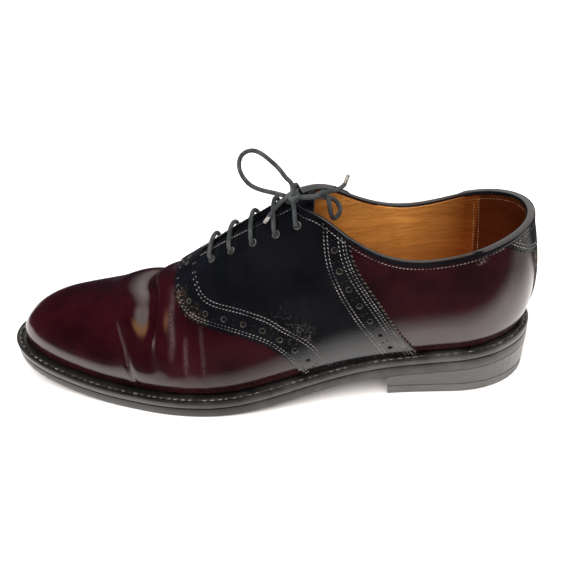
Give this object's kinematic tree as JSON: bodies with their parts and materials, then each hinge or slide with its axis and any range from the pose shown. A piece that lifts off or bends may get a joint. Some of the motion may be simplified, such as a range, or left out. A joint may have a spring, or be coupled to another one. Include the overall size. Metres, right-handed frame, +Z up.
{
  "type": "saddle oxford shoe",
  "caption": "Left laced low shoe with a plain rounded toe, a saddle overlay with punched bands, a welted sole and a stacked heel.",
  "frame": {"origin": "middle of the shoe's box on the floor it stands on", "axes": "toe towards -X, outer side of the foot towards -Y, +Z up"},
  "size_m": [0.3083, 0.1068, 0.1264],
  "materials": {
    "burgundy": "polished corrected leather, deep burgundy",
    "black": "polished black leather",
    "edge": "dressed black sole edge, half gloss",
    "heel_rubber": "matt black rubber",
    "lining": "plain tan lining leather",
    "lace": "round waxed woven lace",
    "tip": "clear-black lace tip"
  },
  "bodies": {
    "root": {"outsole": "edge", "welt": "edge", "insole": "lining", "heel_stack": "edge", "heel_top_piece": "heel_rubber", "upper": "burgundy", "saddle": "black", "heel_tab": "black", "back_strip": "black", "topline_binding": "black", "tongue": "black", "lace_bar_1": "lace", "lace_bar_2": "lace", "lace_bar_3": "lace", "lace_bar_4": "lace", "lace_top_near": "lace", "lace_top_far": "lace", "lace_knot": "lace", "lace_loop_front": "lace", "lace_loop_back": "lace", "lace_end_front": "lace", "lace_end_back": "lace", "lace_tip_front": "tip", "lace_tip_back": "tip"}
  },
  "joints": []
}
